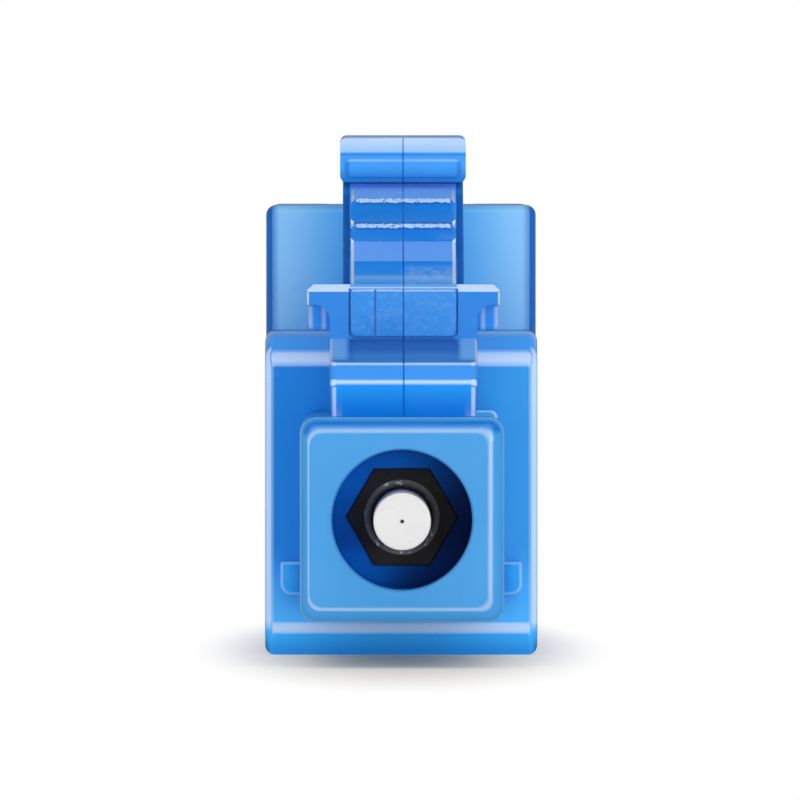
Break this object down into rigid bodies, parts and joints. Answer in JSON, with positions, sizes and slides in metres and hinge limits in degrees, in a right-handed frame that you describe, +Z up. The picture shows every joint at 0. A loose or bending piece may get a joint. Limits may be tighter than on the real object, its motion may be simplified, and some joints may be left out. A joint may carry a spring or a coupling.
{
  "type": "fibre optic attenuator",
  "caption": "Plug-in fixed fibre optic attenuator: square plug nose with a sprung latch and floating ferrule in front, low collar, tall block with a latching socket behind.",
  "frame": {"origin": "middle of the overall length and width, on the face it rests on", "axes": "+Z up, the plug and its ferrule point along -Y, the socket opens along +Y, +X to the right seen from the plug end"},
  "size_m": [0.006, 0.0332, 0.0116],
  "materials": {
    "blue_housing": "smooth moulded blue plastic",
    "white_ceramic": "polished zirconia ceramic",
    "fibre_glass": "polished glass fibre end",
    "black_flange": "black moulded flange",
    "spring_steel": "drawn stainless wire"
  },
  "bodies": {
    "housing": {"body_housing": "blue_housing", "plug_frame": "blue_housing", "spring_stop": "blue_housing", "sleeve_holder": "blue_housing", "split_sleeve": "white_ceramic", "float_spring": "spring_steel"},
    "latch": {"latch_arm": "blue_housing"},
    "ferrule_unit": {"ferrule": "white_ceramic", "doped_fibre": "fibre_glass", "ferrule_flange": "black_flange"}
  },
  "joints": [
    {"name": "latch_flex", "type": "hinge", "parent": "housing", "child": "latch", "pos_m": [0, -0.0114, 0.00617], "axis": [-1, 0, 0], "range_deg": [0, 11], "stiffness_Nm_per_rad": 0.15},
    {"name": "ferrule_float", "type": "slide", "parent": "housing", "child": "ferrule_unit", "axis": [0, 1, 0], "range_m": [0, 0.0006], "stiffness_N_per_m": 1500, "springref_m": -0.002, "deforming": ["float_spring"]}
  ]
}
